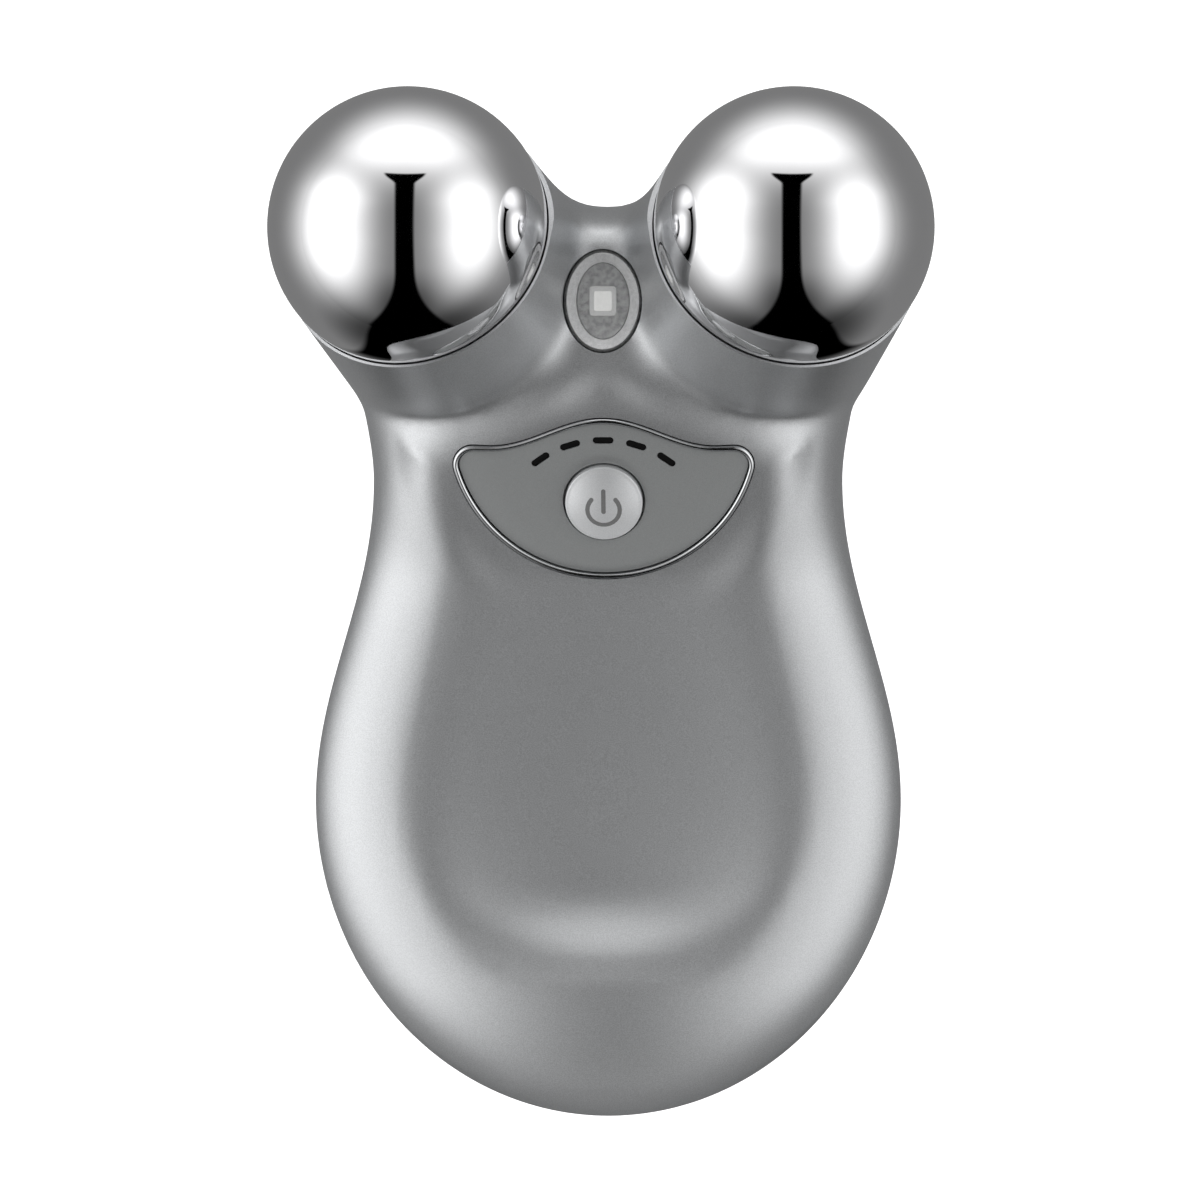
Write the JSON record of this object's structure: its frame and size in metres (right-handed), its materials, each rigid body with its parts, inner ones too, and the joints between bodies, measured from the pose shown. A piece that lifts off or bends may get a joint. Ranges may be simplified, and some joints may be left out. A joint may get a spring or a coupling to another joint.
{
  "type": "facial toning device",
  "caption": "Palm-sized facial toning device with mirror-finished spheres in tilted collars, a dished grip body, a shaped control panel and a sprung power button.",
  "frame": {"origin": "under the middle of the bounding box, on the surface that the back lies on", "axes": "+Z out of the front face, +Y from the lower end towards the spheres, +X to the right as seen from the front"},
  "size_m": [0.0698, 0.1081, 0.0453],
  "materials": {
    "silver_paint": "satin metallic paint on moulded plastic",
    "mirror_chrome": "mirror plating",
    "trim_chrome": "bright trim",
    "satin_panel": "satin",
    "satin_button": "satin metallic",
    "dark_window": "smoked",
    "clear_plastic": "clear moulded plastic",
    "led_chip": "phosphor and white reflector",
    "black_rubber": "matt",
    "steel": "plain",
    "brass_plate": "plain",
    "board_green": "solder mask",
    "black_plastic": "moulded",
    "cell_foil": "shrink sleeve",
    "foam": "foam tape",
    "red_lead": "insulation",
    "white_plastic": "moulded"
  },
  "bodies": {
    "housing": {"left_sphere": "mirror_chrome", "left_sphere_seal": "black_rubber", "left_sphere_screw": "steel", "left_contact_tab": "brass_plate", "right_sphere": "mirror_chrome", "right_sphere_seal": "black_rubber", "right_sphere_screw": "steel", "right_contact_tab": "brass_plate", "panel_bezel": "trim_chrome", "panel_plate": "satin_panel", "light_guide": "dark_window", "switch_body": "black_plastic", "panel_board": "board_green", "indicator_led_1": "led_chip", "indicator_led_2": "led_chip", "indicator_led_3": "led_chip", "indicator_led_4": "led_chip", "indicator_led_5": "led_chip", "panel_board_screw_1": "steel", "panel_board_screw_2": "steel", "lamp_lens": "clear_plastic", "lamp_board": "white_plastic", "lamp_led": "led_chip", "front_cover": "silver_paint", "rear_cover": "silver_paint", "housing_screw_1": "steel", "housing_screw_2": "steel", "housing_screw_3": "steel", "housing_screw_4": "steel", "screw_plug_1": "silver_paint", "screw_plug_2": "silver_paint", "screw_plug_3": "silver_paint", "screw_plug_4": "silver_paint", "main_board": "board_green", "battery_cell": "cell_foil", "battery_pad": "foam", "battery_connector": "white_plastic", "battery_lead": "red_lead", "microcontroller": "black_plastic", "boost_inductor": "black_plastic", "buzzer": "black_plastic", "charging_socket": "black_plastic", "board_screw_1": "steel", "board_screw_2": "steel", "board_screw_3": "steel", "board_screw_4": "steel", "left_sphere_lead": "red_lead", "right_sphere_lead": "red_lead", "lamp_lead": "red_lead", "board_ribbon": "black_plastic"},
    "button": {"power_button": "satin_button", "switch_plunger": "white_plastic"}
  },
  "joints": [
    {"name": "button_press", "type": "slide", "parent": "housing", "child": "button", "axis": [0, 0.342, -0.9397], "range_m": [0, 0.0004], "stiffness_N_per_m": 3000}
  ]
}
